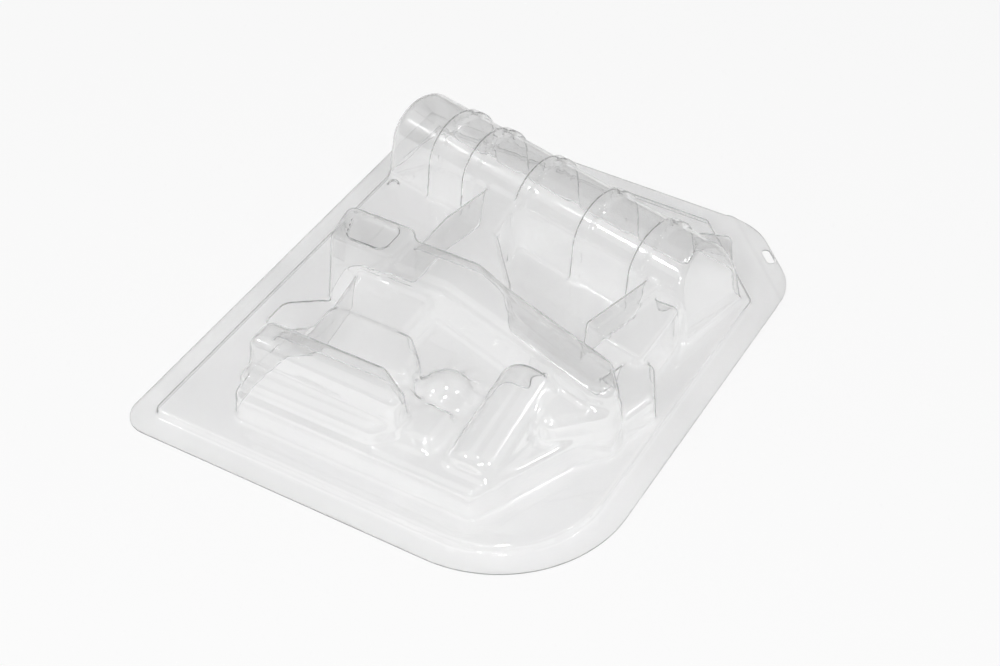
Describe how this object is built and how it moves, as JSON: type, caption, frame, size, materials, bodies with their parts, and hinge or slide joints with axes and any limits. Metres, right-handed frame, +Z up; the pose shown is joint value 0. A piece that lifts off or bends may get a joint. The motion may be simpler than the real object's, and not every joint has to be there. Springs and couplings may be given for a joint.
{
  "type": "blister pack",
  "caption": "Clear thermoformed blister shell with a ribbed tube cavity, a stepped tool cavity, a flat rim, one wide rounded corner and a cut-off corner with a hanging hole.",
  "frame": {"origin": "middle of the rim's underside, on the surface that the shell lies on", "axes": "+X to the cut-off corner and the wide rounded corner, +Y to the side with the tube, +Z up to the tops of the cavities"},
  "size_m": [0.2, 0.24, 0.04],
  "materials": {
    "clear_sheet": "clear glossy rigid film"
  },
  "bodies": {
    "root": {"blister_shell": "clear_sheet"}
  },
  "joints": []
}
